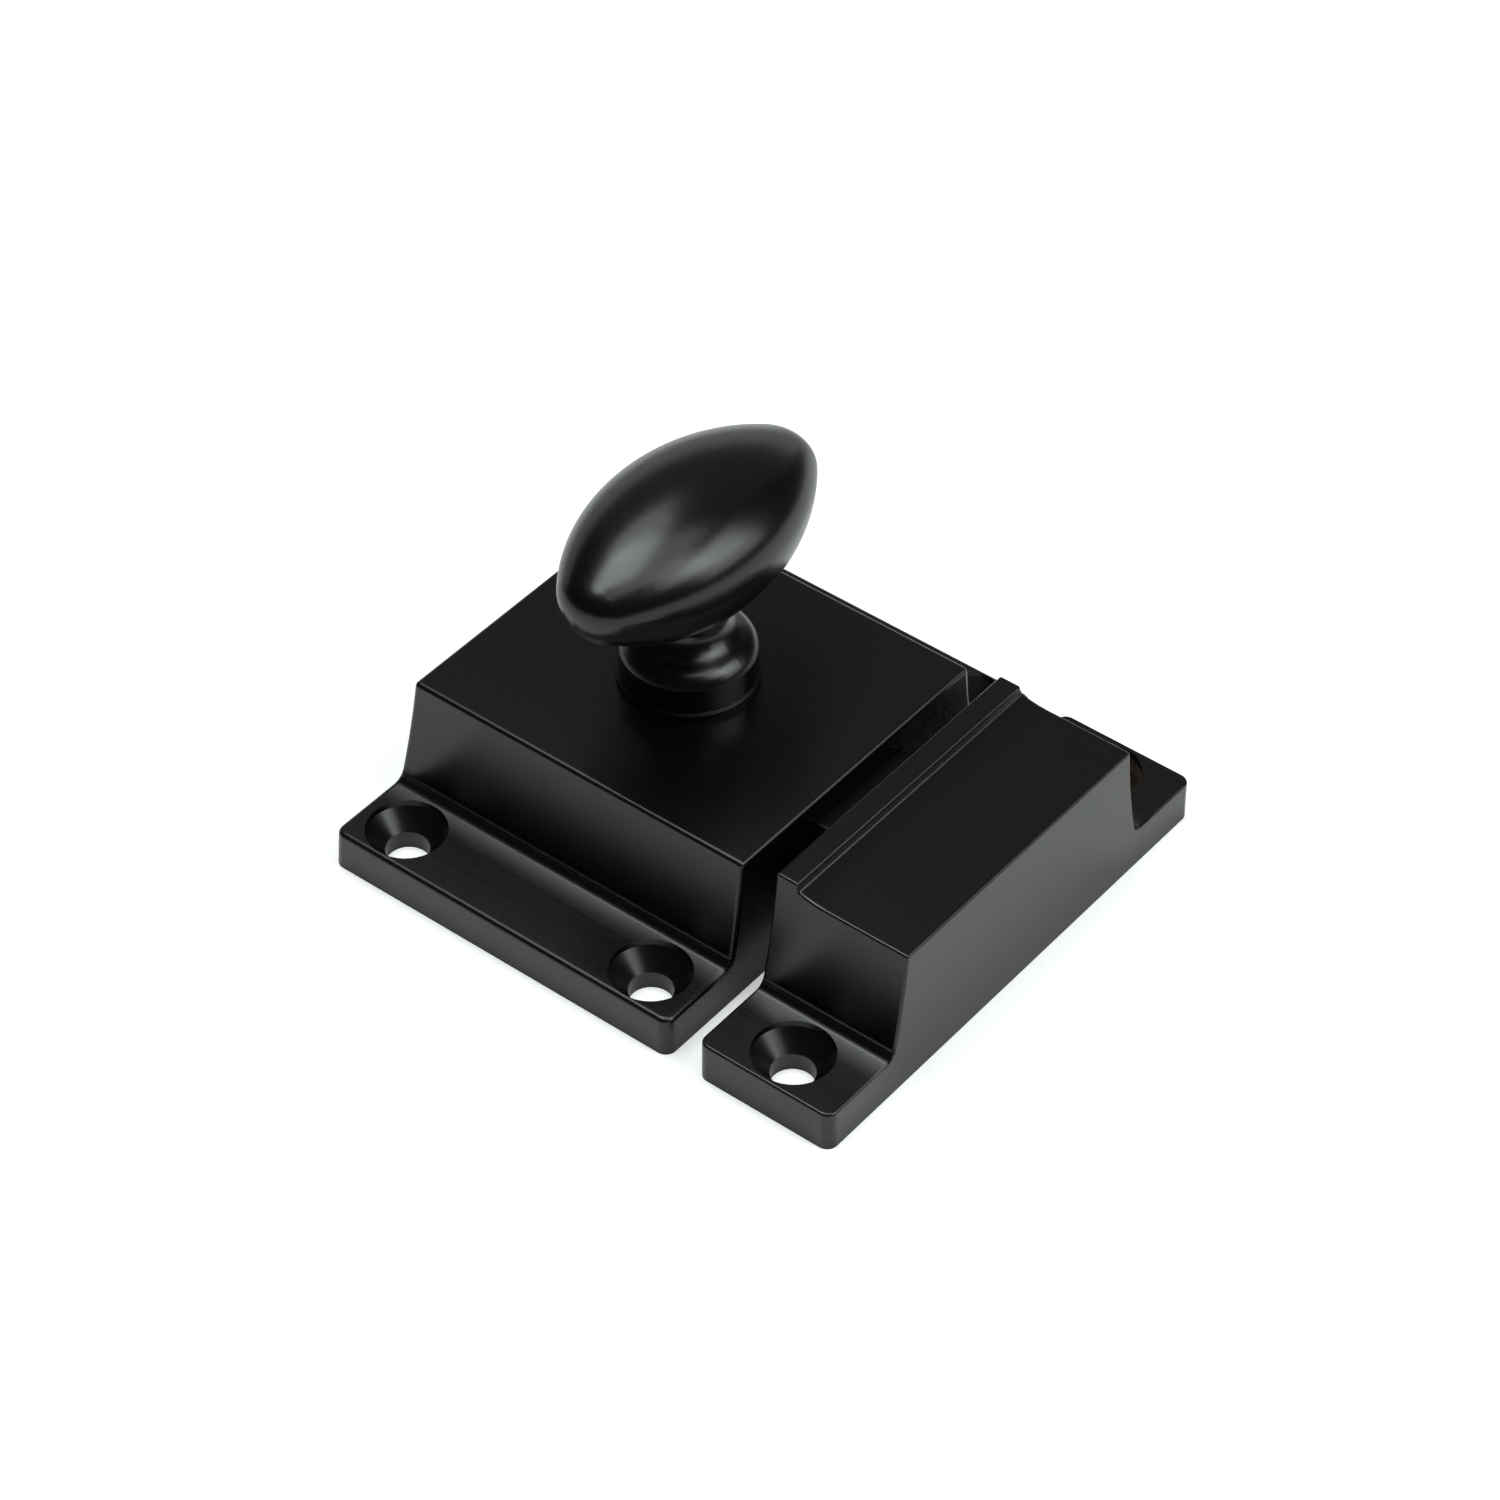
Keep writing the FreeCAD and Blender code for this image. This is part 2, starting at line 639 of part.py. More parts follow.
def make_back_screws():
    radius = dim.back_screw / 2
    head = dim.back_screw_head / 2
    cone = (head - radius) / tangent(dim.screw_cone / 2)
    pattern = turned("back_screw_pattern", [
        (head, ZERO),
        (radius, cone),
        (radius, dim.back_screw_length),
        (ZERO, dim.back_screw_length),
        (ZERO, ZERO),
    ])
    slot = new_sketch(pattern, "back_screw_slot", "XY_Plane")
    rectangle(slot, -head, head, -dim.screw_slot / 2, dim.screw_slot / 2)
    pocket(pattern, slot, dim.slot_depth, reverse=True)
    return copies("back_plate_screws", pattern, back_screw_places())


def make_bush():
    bore = journal_radius + dim.spindle_fit
    rim = dim.bush_rim_size / 2
    return turned("spindle_bush", [
        (dim.bush_size / 2, bush_bottom),
        (dim.bush_size / 2, dim.case_height),
        (rim, dim.case_height),
        (rim, rim_top - dim.bush_rim_bevel),
        (rim - dim.bush_rim_bevel, rim_top),
        (bore, rim_top),
        (bore, bush_bottom),
    ])


def make_spindle():
    groove = dim.groove_size / 2
    stud = dim.stud_size / 2
    square_bottom = cam_bottom + dim.square_set_back
    body = turned("knob_spindle", [
        (journal_radius, cam_top),
        (journal_radius, groove_bottom),
        (groove, groove_bottom),
        (groove, groove_top),
        (journal_radius, groove_top),
        (journal_radius, collar_bottom),
        (stud, collar_bottom),
        (stud, collar_bottom + dim.stud_length),
        (ZERO, collar_bottom + dim.stud_length),
        (ZERO, cam_top),
    ])
    square = new_sketch(body, "spindle_square_end", "XY_Plane", cam_top)
    half = dim.spindle_square / 2
    rectangle(square, -half, half, -half, half)
    pad(body, square, cam_top - square_bottom, reverse=True)
    hole = new_sketch(body, "cam_screw_hole", "XY_Plane", square_bottom)
    circle(hole, ZERO, ZERO, dim.cam_screw_size / 2)
    pocket(body, hole, dim.cam_screw_length + dim.cam_hole_extra, reverse=True)
    return body


def make_ring(name, bottom, thick, size, bore):
    body = new_body(name)
    sketch = new_sketch(body, name + "_outline", "XY_Plane", bottom)
    circle(sketch, ZERO, ZERO, size / 2)
    circle(sketch, ZERO, ZERO, bore / 2)
    pad(body, sketch, thick)
    return body


def make_thrust_washer():
    bore = dim.spindle_size + dim.spindle_fit * 2
    return make_ring("thrust_washer", washer_bottom, dim.washer_thick, dim.washer_size, bore)


def make_clip():
    bore = dim.groove_size + dim.spindle_fit * 2
    body = make_ring("retaining_clip", clip_bottom, dim.clip_thick, dim.clip_size, bore)
    mouth = new_sketch(body, "clip_opening", "XY_Plane", clip_bottom)
    half = dim.clip_mouth / 2
    rectangle(mouth, ZERO, dim.clip_size, -half, half)
    pocket(body, mouth, dim.clip_thick, reverse=True)
    return body


def make_cam_washer():
    bore = dim.cam_screw_size + dim.back_screw_fit * 2
    bottom = cam_bottom - dim.cam_washer_thick
    return make_ring("cam_washer", bottom, dim.cam_washer_thick, dim.cam_washer_size, bore)


def make_cam_screw():
    radius = dim.cam_screw_size / 2
    head = dim.cam_screw_head / 2
    seat = cam_bottom - dim.cam_washer_thick
    head_bottom = seat - dim.cam_screw_head_height
    body = turned("cam_screw", [
        (head, head_bottom),
        (head, seat),
        (radius, seat),
        (radius, seat + dim.cam_screw_length),
        (ZERO, seat + dim.cam_screw_length),
        (ZERO, head_bottom),
    ])
    slot = new_sketch(body, "cam_screw_slot", "XY_Plane", head_bottom)
    rectangle(slot, -head - dim.lead, head + dim.lead, -dim.screw_slot / 2, dim.screw_slot / 2)
    pocket(body, slot, dim.slot_depth, reverse=True)
    return body


def cam_flank(reach, base, turn):
    """Points on the involute that pushes a flat face evenly: each is where cam and bolt touch
    after a part of the turn, turned back into the cam's rest position."""
    points = []
    for step in range(FLANK_STEPS + 1):
        angle = turn * step / FLANK_STEPS
        touch = V(-(reach + base * angle), base, 0)
        back = FreeCAD.Rotation(V(0, 0, 1), -math.degrees(angle))
        points.append(back.multVec(touch))
    return points


def make_cam():
    """A two-winged cam: its flat back rests on the bolt's upright, and either wing rolls the bolt back."""
    turn = math.radians(dim.knob_turn.value)
    base = dim.travel.value / turn
    reach = dim.cam_seat.value - dim.cam_fit.value
    flank = cam_flank(reach, base, turn)
    tip_turn = FreeCAD.Rotation(V(0, 0, 1), -dim.cam_tip.value)
    half_turn = FreeCAD.Rotation(V(0, 0, 1), -dim.cam_tip.value / 2)
    corner = tip_turn.multVec(flank[-1])
    middle = half_turn.multVec(flank[-1])
    hub = dim.cam_hub.value
    shoulder = FreeCAD.Rotation(V(0, 0, 1), dim.cam_shoulder.value).multVec(V(hub, 0, 0))

    wing = Part.BSplineCurve()
    wing.interpolate(flank)
    tip = Part.Arc(flank[-1], middle, corner).toShape()
    half = [wing.toShape(), tip, Part.LineSegment(corner, shoulder).toShape()]
    other_half = [edge.mirror(V(0, 0, 0), V(0, 1, 0)) for edge in half]
    rear = Part.LineSegment(across_x(flank[0]), flank[0]).toShape()
    front = Part.Arc(shoulder, V(hub, 0, 0), across_x(shoulder)).toShape()
    outline = Part.Wire(Part.__sortEdges__([rear, front] + half + other_half))
    solid = Part.Face(outline).extrude(V(0, 0, cam_thick.value))
    side = dim.spindle_square.value + dim.square_fit.value * 2
    through = (cam_thick + dim.lead * 2).value
    square = Part.makeBox(side, side, through, V(-side / 2, -side / 2, -dim.lead.value))
    feature = doc.addObject("Part::Feature", "drive_cam")
    feature.Label = "drive_cam"
    feature.Shape = solid.cut(square)
    feature.Placement = FreeCAD.Placement(V(0, 0, cam_bottom.value), FreeCAD.Rotation())
    return feature


def make_bolt():
    """The bolt: a bevelled nose, a shoulder, two rails beside the spindle and an upright for the cam."""
    body = new_body("latch_bolt")
    frame = new_sketch(body, "bolt_frame", "XY_Plane", bolt_bottom)
    corner = dim.cavity_corner + dim.shoulder_gap
    rounded_rectangle(frame, lug_rear, shoulder_front, -bolt_half, bolt_half, corner)
    inner = bolt_half - dim.rail_width
    rectangle(frame, lug_front, shoulder_rear, -inner, inner)
    pad(body, frame, dim.rail_height)
    lug = new_sketch(body, "bolt_upright", "XY_Plane", bolt_bottom)
    rounded_rectangle(lug, lug_rear, lug_front, -bolt_half, bolt_half, corner)
    pad(body, lug, lug_top - bolt_bottom)
    shoulder = new_sketch(body, "bolt_shoulder", "XY_Plane", bolt_bottom)
    closed_outline(shoulder, [
        (shoulder_rear, -bolt_half),
        (shoulder_front - corner, -bolt_half),
        (shoulder_front, -bolt_half + corner, corner, "left"),
        (shoulder_front, bolt_half - corner),
        (shoulder_front - corner, bolt_half, corner, "left"),
        (shoulder_rear, bolt_half),
    ])
    pad(body, shoulder, nose_top - bolt_bottom)
    nose = new_sketch(body, "bolt_nose", "XY_Plane", bolt_bottom)
    half = dim.nose_width / 2
    rectangle(nose, shoulder_rear, nose_tip, -half, half)
    pad(body, nose, nose_top - bolt_bottom)
    bevel = new_sketch(body, "nose_bevel", "XZ_Plane")
    start = case_side + dim.bevel_start
    edge_low = nose_top - dim.nose_edge
    slope = (edge_low - bolt_bottom) / (nose_tip - start)
    closed_outline(bevel, [
        (start, bolt_bottom),
        (start, bolt_bottom - dim.lead),
        (nose_tip + dim.lead, bolt_bottom - dim.lead),
        (nose_tip + dim.lead, edge_low + slope * dim.lead),
    ])
    pocket(body, bevel, dim.nose_width + dim.lead * 2, symmetric=True)
    holes = new_sketch(body, "guide_pin_holes", "YZ_Plane", lug_rear)
    for sign in (1, -1):
        circle(holes, signed(dim.pin_spacing / 2, sign), pin_height, dim.pin_size / 2)
    pocket(body, holes, dim.pin_hold, reverse=True)
    beyond = case_side.value

    def is_nose_edge(edge):
        box = edge.BoundBox
        return box.XMax > beyond + SAME_PLACE and box.ZMax > edge_low.value - SAME_PLACE
    soften(body, "Fillet", dim.nose_round, is_nose_edge)
    return body


def make_guide_pins():
    """Two steel pins riveted into the bolt, one inside each spring."""
    pins = []
    for name, sign in (("guide_pin_left", -1), ("guide_pin_right", 1)):
        pin = doc.addObject("Part::Cylinder", name)
        pin.setExpression("Radius", (dim.pin_size / 2).formula)
        pin.setExpression("Height", (dim.pin_hold + dim.pin_reach).formula)
        start = lug_rear + dim.pin_hold
        across = signed(dim.pin_spacing / 2, sign)
        pin.Placement = FreeCAD.Placement(V(0, 0, 0), FreeCAD.Rotation(V(0, 1, 0), -90))
        pin.setExpression("Placement.Base.x", start.formula)
        pin.setExpression("Placement.Base.y", across.formula)
        pin.setExpression("Placement.Base.z", pin_height.formula)
        pins.append(pin)
    group = doc.addObject("Part::Compound", "bolt_guide_pins")
    group.Label = "bolt_guide_pins"
    group.Links = pins
    doc.recompute()
    return group


def make_spring(name, sign):
    """A compression spring between the case's rear wall and the bolt's upright. Its wire is drawn with
    flat sides, which is enough for a piece this thin."""
    wire = dim.spring_wire.value / 2
    radius = dim.spring_size.value / 2 - wire
    length = (lug_rear - cavity_rear).value - dim.spring_fit.value * 2 - wire * 2
    path = Part.makeHelix(length / dim.spring_turns.value, length, radius)
    corners = []
    for side in range(WIRE_SIDES + 1):
        angle = math.tau * side / WIRE_SIDES
        corners.append(V(radius + wire * math.cos(angle), 0, wire * math.sin(angle)))
    section = Part.makePolygon(corners)
    sweep = Part.BRepOffsetAPI.MakePipeShell(Part.Wire(path))
    sweep.setFrenetMode(True)
    sweep.add(section)
    sweep.build()
    sweep.makeSolid()
    spring = sweep.shape()
    feature = doc.addObject("Part::Feature", name)
    feature.Label = name
    feature.Shape = spring
    start = cavity_rear.value + dim.spring_fit.value + wire
    across = sign * dim.pin_spacing.value / 2
    turn = FreeCAD.Rotation(V(0, 1, 0), 90)
    feature.Placement = FreeCAD.Placement(V(start, across, pin_height.value), turn)
    return feature


def make_stem():
    """The turned foot of the knob: collar, bell, hollow, and a neck that widens into the head."""
    collar = dim.collar_size / 2
    collar_top = collar_bottom + dim.collar_height
    bell_top = collar_top + dim.bell_height
    neck = dim.neck_size / 2
    belly = head_level - dim.head_belly
    body = new_body("knob_stem")
    sketch = new_sketch(body, "knob_stem_profile", "XZ_Plane")
    closed_outline(sketch, [
        (collar, collar_bottom),
        (collar, collar_top),
        (dim.bell_size / 2, bell_top, dim.bell_curve, "left"),
        (neck, bell_top + dim.hollow_height, dim.hollow_curve, "right"),
        (neck, belly - dim.neck_flare / 2),
        (neck + dim.neck_flare, belly + dim.neck_flare_height, dim.neck_flare_height * 2, "right"),
        (neck + dim.neck_flare, head_level),
        (ZERO, head_level),
        (ZERO, collar_bottom),
    ])
    revolve(body, sketch)
    return body


def oval_half(half_length, half_width, end_radius, depth):
    """Half of an egg-like solid with an oval plan: an oval turned half round about its long axis, then
    stretched along Z to the depth asked for (downwards where that is negative). The oval has two long
    arcs and two round ends that meet them smoothly."""
    spread = half_length ** 2 - 2 * half_length * end_radius + half_width ** 2
    long_radius = spread / (2 * (half_width - end_radius))
    long_centre = V(half_width - long_radius, 0, 0)
    end_centre = V(0, half_length - end_radius, 0)
    outward = (end_centre - long_centre).normalize()
    join = end_centre + outward * end_radius
    end_middle = end_centre + (outward + V(0, 1, 0)).normalize() * end_radius
    tip = V(0, half_length, 0)
    outline = [
        Part.Arc(tip, end_middle, join).toShape(),
        Part.Arc(join, V(half_width, 0, 0), across_x(join)).toShape(),
        Part.Arc(across_x(join), across_x(end_middle), across_x(tip)).toShape(),
        Part.LineSegment(across_x(tip), tip).toShape(),
    ]
    half = Part.Face(Part.Wire(outline)).revolve(V(0, 0, 0), V(0, 1, 0), math.copysign(180, -depth))
    stretch = FreeCAD.Matrix()
    stretch.scale(1, 1, abs(depth) / half_width)
    return half.transformGeometry(stretch)


def across_x(point):
    """The point's mirror image beyond the X axis."""
    return V(point.x, -point.y, point.z)


def make_head():
    """The oval head: a flattened dome, a deeper underside, and a small step where the underside begins."""
    half_length = dim.head_length.value / 2
    half_width = dim.head_width.value / 2
    end_radius = dim.head_end.value
    step = dim.head_step.value
    rim = dim.head_rim.value
    belly = dim.head_belly.value
    dome = oval_half(half_length, half_width, end_radius, dim.head_dome.value)
    side = oval_half(half_length, half_width, end_radius, -belly)
    under = oval_half(half_length - step, half_width - step, end_radius - step, -belly)
    reach = half_length + dim.lead.value
    below_rim = Part.makeBox(reach * 2, reach * 2, belly, V(-reach, -reach, -rim - belly))
    feature = doc.addObject("Part::Feature", "knob_head")
    feature.Shape = dome.fuse([side.cut(below_rim), under.common(below_rim)]).removeSplitter()
    feature.Placement = FreeCAD.Placement(V(0, 0, head_level.value), FreeCAD.Rotation())
    return feature


def make_knob():
    """The knob, one casting: the head on its turned foot, bored and tapped for the spindle's stud."""
    whole = doc.addObject("Part::MultiFuse", "knob_casting")
    whole.Shapes = [make_head(), make_stem()]
    whole.Refine = True
    bore = doc.addObject("Part::Cylinder", "knob_bore")
    bore.setExpression("Radius", (dim.stud_size / 2).formula)
    bore.setExpression("Height", (dim.stud_hole_depth + dim.lead).formula)
    bore.setExpression("Placement.Base.z", (collar_bottom - dim.lead).formula)
    knob = doc.addObject("Part::Cut", "knob")
    knob.Label = "knob"
    knob.Base = whole
    knob.Tool = bore
    doc.recompute()
    return knob


def write_part(part):
    """Writes one sub-part as STEP, after checking that it is sound."""
    shape = part.Shape
    if shape.isNull() or not shape.isValid() or not shape.Solids:
        raise RuntimeError("%s is not a valid solid" % part.Label)
    print("%-20s solids %d, volume %8.1f mm3" % (part.Label, len(shape.Solids), shape.Volume))
    shape.exportStep(os.path.join("parts", part.Label + ".step"))


parts = [
    make_case(),
    make_keeper(),
    make_back_plate(),
    make_back_screws(),
    make_bush(),
    make_knob(),
    make_spindle(),
    make_thrust_washer(),
    make_clip(),
    make_cam(),
    make_cam_washer(),
    make_cam_screw(),
    make_bolt(),
    make_guide_pins(),
    make_spring("bolt_spring_left", -1),
    make_spring("bolt_spring_right", 1),
]
doc.recompute()
for item in doc.Objects:
    if "Invalid" in item.State or "Error" in item.State:
        raise RuntimeError("%s does not compute" % item.Label)
os.makedirs("parts", exist_ok=True)
for part in parts:
    write_part(part)
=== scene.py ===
# %% [markdown]
# # A cupboard catch, dressed for its portrait
# The catch is cast and machined in brass and lacquered black: a raised case with an oval knob, and a
# keeper beside it that takes the sprung bolt. The exact solids come from the CAD model, already in
# place and in metres. This lesson gives them their finishes, puts copies in place of the springs, and
# sets up the studio.

# %% Load the exact solids
import math
import bpy
from mathutils import Matrix, Vector


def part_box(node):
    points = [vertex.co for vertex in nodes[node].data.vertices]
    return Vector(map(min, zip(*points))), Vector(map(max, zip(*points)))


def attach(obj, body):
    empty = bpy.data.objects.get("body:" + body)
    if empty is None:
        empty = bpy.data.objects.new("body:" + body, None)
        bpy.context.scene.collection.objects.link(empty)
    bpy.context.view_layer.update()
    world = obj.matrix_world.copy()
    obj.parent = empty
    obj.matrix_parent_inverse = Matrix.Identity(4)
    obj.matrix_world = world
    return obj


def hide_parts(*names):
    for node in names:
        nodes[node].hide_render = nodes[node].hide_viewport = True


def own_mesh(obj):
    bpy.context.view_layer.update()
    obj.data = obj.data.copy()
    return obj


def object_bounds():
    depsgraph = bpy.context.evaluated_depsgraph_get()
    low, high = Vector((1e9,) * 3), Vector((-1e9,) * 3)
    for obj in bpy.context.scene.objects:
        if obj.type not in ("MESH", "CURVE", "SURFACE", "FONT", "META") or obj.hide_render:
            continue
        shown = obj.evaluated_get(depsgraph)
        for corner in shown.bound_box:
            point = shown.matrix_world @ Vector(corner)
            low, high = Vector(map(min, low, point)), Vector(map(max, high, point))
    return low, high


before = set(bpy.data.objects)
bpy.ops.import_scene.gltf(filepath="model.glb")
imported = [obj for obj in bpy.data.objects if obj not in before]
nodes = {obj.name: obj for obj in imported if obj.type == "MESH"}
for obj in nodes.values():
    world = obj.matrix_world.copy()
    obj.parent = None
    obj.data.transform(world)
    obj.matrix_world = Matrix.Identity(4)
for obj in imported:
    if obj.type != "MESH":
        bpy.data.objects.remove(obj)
cad_box = [list(corner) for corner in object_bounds()]
MM = 0.001
print("solids:", ", ".join(sorted(nodes)))
print("box of the solids in mm:", [[round(side / MM, 2) for side in corner] for corner in cad_box])

# %% [markdown]
# ## Small helpers for materials
# A painter's colour is read off in sRGB, but the shader wants linear light, so one function turns a
# hex value into linear numbers. Another adds a node with its settings and its inputs. An input is
# either a plain value or the output socket of another node, and then the two get linked.

# %% Colour and node helpers
def linear(hex_colour):
    parts = [int(hex_colour[place:place + 2], 16) / 255 for place in (1, 3, 5)]
    turned = [part / 12.92 if part <= 0.04045 else ((part + 0.055) / 1.055) ** 2.4 for part in parts]
    return (*turned, 1.0)


def add_node(material, kind, settings=None, inputs=None):
    new = material.node_tree.nodes.new(kind)
    for name, value in (settings or {}).items():
        setattr(new, name, value)
    for name, value in (inputs or {}).items():
        if isinstance(value, bpy.types.NodeSocket):
            material.node_tree.links.new(value, new.inputs[name])
        else:
            new.inputs[name].default_value = value
    return new


def new_material(name):
    material = bpy.data.materials.new(name)
    material.use_nodes = True
    material.node_tree.nodes.clear()
    return material


def per_metre(spacing_mm):
    """How often a pattern repeats in a metre when its features are that far apart."""
    return 1 / (spacing_mm * MM)


print("the lacquer's black in linear light:", [round(part, 4) for part in linear("#131314")[:3]])

# %% [markdown]
# ## Black lacquer over brushed brass
# The castings were linished on a belt before the lacquer went on, so fine straight scratches still
# show through it: along X on the flanges and end walls, along Y on the two long sides. They are
# strongest on the flanges and fade up the walls, because the raised tops were polished afterwards.
# The lacquer itself adds a very slight orange peel. Both are too shallow to model, so they are bump,
# made from noise that is drawn out along the belt's direction. The countersinks were turned instead,
# so rings take over there. In one of them the spray hardly reached the wall, and raw brass shows.

# %% Patterns for the lacquer
def value_of(material, operation, *values):
    return add_node(material, "ShaderNodeMath", {"operation": operation}, dict(enumerate(values))).outputs[0]


def between(material, share, first, second):
    return add_node(material, "ShaderNodeMix", {"data_type": "FLOAT"}, {0: share, 2: first, 3: second}).outputs[0]


def ramp(material, value, low, high, to_low=0.0, to_high=1.0):
    inputs = {"Value": value, "From Min": low, "From Max": high, "To Min": to_low, "To Max": to_high}
    return add_node(material, "ShaderNodeMapRange", inputs=inputs).outputs["Result"]


def streaks(material, place, gap_mm, along=(1, 1, 1), detail=3.0):
    """Noise with features a gap apart, drawn out along each axis whose share is small."""
    scale = [part * per_metre(gap_mm) for part in along]
    mapped = add_node(material, "ShaderNodeMapping", inputs={"Vector": place, "Scale": scale})
    inputs = {"Vector": mapped.outputs["Vector"], "Scale": 1.0, "Detail": detail, "Roughness": 0.6}
    return add_node(material, "ShaderNodeTexNoise", inputs=inputs).outputs["Fac"]


def distance_from(material, parts, middle_mm, mirrored_about_mm):
    """Distance in plan from a hole's middle, the same for the holes mirrored about the given X and about Y = 0."""
    squares = []
    for axis, middle, mirror in zip("XY", middle_mm, (mirrored_about_mm, 0.0)):
        from_mirror = value_of(material, "SUBTRACT", parts.outputs[axis], mirror * MM)
        from_middle = value_of(material, "SUBTRACT", value_of(material, "ABSOLUTE", from_mirror), middle * MM)
        squares.append(value_of(material, "MULTIPLY", from_middle, from_middle))
    return value_of(material, "SQRT", value_of(material, "ADD", *squares))


# %% The lacquer
FOOT_MM = 16.75
COVE_MM = 3.0
COVE_CURVE = 55.0
# Painted shade: the share of its reflection that the lacquer keeps in the corner at the walls' foot.
PAINTED_SHADE_SHINE = 0.08


def black_lacquer(name, colour, roughness, scratch_mm, peel_mm, holes=None, bare_beyond_y=None, ior=1.5):
    material = new_material(name)
    coordinates = add_node(material, "ShaderNodeTexCoord")
    place = coordinates.outputs["Object"]
    parts = add_node(material, "ShaderNodeSeparateXYZ", inputs={"Vector": place})
    normal = add_node(material, "ShaderNodeSeparateXYZ", inputs={"Vector": coordinates.outputs["Normal"]})
    sideways = ramp(material, value_of(material, "ABSOLUTE", normal.outputs["X"]), 0.6, 0.8)
    along_x = streaks(material, place, 0.12, (0.005, 1, 1), 4.0)
    along_y = streaks(material, place, 0.12, (1, 0.005, 1), 4.0)
    scratch = between(material, sideways, along_x, along_y)
    low_down = ramp(material, parts.outputs["Z"], 4.1 * MM, 4.7 * MM, 1.0, 0.15)
    worn = value_of(material, "MULTIPLY", low_down, ramp(material, sideways, 0.0, 1.0, 1.0, 0.3))
    if holes:
        radius = distance_from(material, parts, *holes)
        ring = add_node(material, "ShaderNodeCombineXYZ", inputs={"X": radius})
        rings = streaks(material, ring.outputs["Vector"], 0.16)
        in_hole = ramp(material, radius, 3.42 * MM, 3.50 * MM, 1.0, 0.0)
        scratch = between(material, in_hole, scratch, value_of(material, "MULTIPLY", rings, 5.0))
    depth = value_of(material, "MULTIPLY", worn, scratch)
    belt = add_node(material, "ShaderNodeBump", inputs={
        "Height": depth,
        "Strength": 1.0,
        "Distance": scratch_mm * MM,
    })
    if holes:
        from_foot = value_of(material, "SUBTRACT", value_of(material, "ABSOLUTE", parts.outputs["Y"]), FOOT_MM * MM)
        short = value_of(material, "SUBTRACT", COVE_MM * MM, from_foot)
        into_cove = value_of(material, "MAXIMUM", short, 0.0)
        rise = value_of(material, "MULTIPLY", value_of(material, "MULTIPLY", into_cove, into_cove), COVE_CURVE)
        on_flange = ramp(material, parts.outputs["Z"], 4.4 * MM, 5.0 * MM, 1.0, 0.0)
        faces_up = ramp(material, normal.outputs["Z"], 0.2, 0.5, 0.0, on_flange)
        cove = add_node(material, "ShaderNodeBump", inputs={
            "Height": value_of(material, "MULTIPLY", rise, faces_up),
            "Strength": 1.0,
            "Distance": 1.0,
            "Normal": belt.outputs["Normal"],
        })
        belt = cove
    peel = streaks(material, place, 0.3, detail=2.0)
    surface = add_node(material, "ShaderNodeBump", inputs={
        "Height": peel,
        "Strength": 1.0,
        "Distance": peel_mm * MM,
        "Normal": belt.outputs["Normal"],
    })
    shine = 0.5
    # Painted shade: where a flange meets the foot of a wall, the lacquer reflects less, which darkens that crease.
    if holes:
        above = ramp(material, parts.outputs["Z"], 4.22 * MM, 4.35 * MM)
        below = ramp(material, parts.outputs["Z"], 5.1 * MM, 5.5 * MM, 1.0, 0.0)
        outside = ramp(material, from_foot, -0.35 * MM, -0.05 * MM)
        corner = value_of(material, "MULTIPLY", value_of(material, "MULTIPLY", above, below), outside)
        shine = between(material, corner, shine, PAINTED_SHADE_SHINE)
    paint = add_node(material, "ShaderNodeBsdfPrincipled", inputs={
        "Base Color": linear(colour),
        "Roughness": between(material, worn, roughness, ramp(material, scratch, 0.3, 0.7, roughness, roughness + 0.05)),
        "Normal": surface.outputs["Normal"],
        "IOR": ior,
        "Specular IOR Level": shine,
    })
    shader = paint
    if bare_beyond_y:
        blotches = ramp(material, streaks(material, place, 0.45, detail=4.0), 0.40, 0.62)
        beyond = ramp(material, parts.outputs["Y"], bare_beyond_y * MM, (bare_beyond_y + 1) * MM)
        deep = ramp(material, parts.outputs["Z"], 3.3 * MM, 3.6 * MM, 1.0, 0.0)
        bare = value_of(material, "MULTIPLY", value_of(material, "MULTIPLY", in_hole, beyond), deep)
        raw_brass = add_node(material, "ShaderNodeBsdfPrincipled", inputs={
            "Base Color": linear("#6f5a38"),
            "Metallic": 1.0,
            "Roughness": 0.42,
            "Normal": surface.outputs["Normal"],
        })
        shader = add_node(material, "ShaderNodeMixShader", inputs={
            0: value_of(material, "MULTIPLY", bare, blotches),
            1: paint.outputs[0],
            2: raw_brass.outputs[0],
        })
    add_node(material, "ShaderNodeOutputMaterial", inputs={"Surface": shader.outputs[0]})
    return material


case_holes = ((13.1, 21.1), 0.0)
keeper_holes = ((0.0, 21.1), 27.7)
case_lacquer = black_lacquer("black_lacquer_on_brushed_brass", "#060607", 0.25, 0.0011, 0.0003, case_holes)
keeper_lacquer = black_lacquer("black_lacquer_on_keeper_brass", "#060607", 0.25, 0.0011, 0.0003, keeper_holes, 20.0)
knob_lacquer = black_lacquer("black_lacquer_on_polished_brass", "#060607", 0.24, 0.0, 0.0003)
bush_lacquer = black_lacquer("black_lacquer_on_turned_brass", "#060607", 0.42, 0.0, 0.0008, ior=1.25)
bolt_lacquer = black_lacquer("black_lacquer_on_milled_brass", "#060607", 0.36, 0.0008, 0.0003, ior=1.25)
lacquers = [case_lacquer, keeper_lacquer, knob_lacquer, bush_lacquer, bolt_lacquer]
print("lacquers:", ", ".join(lacquer.name for lacquer in lacquers))

# %% [markdown]
# ## Bare metals inside
# The cam and the back plate are bare brass, the spindle and the small parts are steel. They only show
# from behind or when the catch is taken apart, but each has its own finish: turned parts carry rings
# around their axis, sheet has rolling lines, springs are drawn wire.

